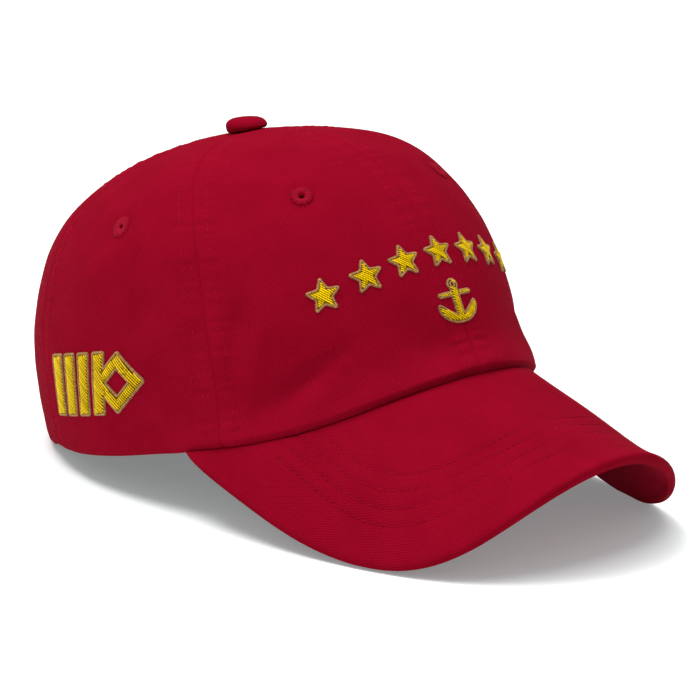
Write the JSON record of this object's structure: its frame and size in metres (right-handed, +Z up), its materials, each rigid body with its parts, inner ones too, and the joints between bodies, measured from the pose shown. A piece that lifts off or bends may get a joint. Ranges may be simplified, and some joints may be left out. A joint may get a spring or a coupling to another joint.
{
  "type": "captain's baseball cap",
  "caption": "Soft six-panel twill cap with a curved peak, covered button, embroidered stars, anchor and rank bars, and an adjustable strap across the open back.",
  "frame": {"origin": "On the surface that the cap stands on, under the middle of the cap's box", "axes": "+Z up, -Y towards the front of the peak, -X to the wearer's right"},
  "size_m": [0.1587, 0.2746, 0.1295],
  "materials": {
    "red_cotton_twill": "matte cotton twill",
    "yellow_embroidery_thread": "satin-stitched rayon thread",
    "brass": "satin brass"
  },
  "bodies": {
    "root": {"front_panel_left": "red_cotton_twill", "front_panel_right": "red_cotton_twill", "side_panel_left": "red_cotton_twill", "side_panel_right": "red_cotton_twill", "back_panel_left": "red_cotton_twill", "back_panel_right": "red_cotton_twill", "peak": "red_cotton_twill", "top_button": "red_cotton_twill", "eyelet_front_left": "red_cotton_twill", "eyelet_front_right": "red_cotton_twill", "eyelet_side_left": "red_cotton_twill", "eyelet_side_right": "red_cotton_twill", "eyelet_back_left": "red_cotton_twill", "eyelet_back_right": "red_cotton_twill", "back_strap": "red_cotton_twill", "strap_buckle": "brass", "anchor": "yellow_embroidery_thread", "star_1": "yellow_embroidery_thread", "star_2": "yellow_embroidery_thread", "star_3": "yellow_embroidery_thread", "star_4": "yellow_embroidery_thread", "star_5": "yellow_embroidery_thread", "star_6": "yellow_embroidery_thread", "star_7": "yellow_embroidery_thread", "rank_bar_1": "yellow_embroidery_thread", "rank_bar_2": "yellow_embroidery_thread", "rank_bar_3": "yellow_embroidery_thread", "rank_bar_and_diamond": "yellow_embroidery_thread"}
  },
  "joints": []
}
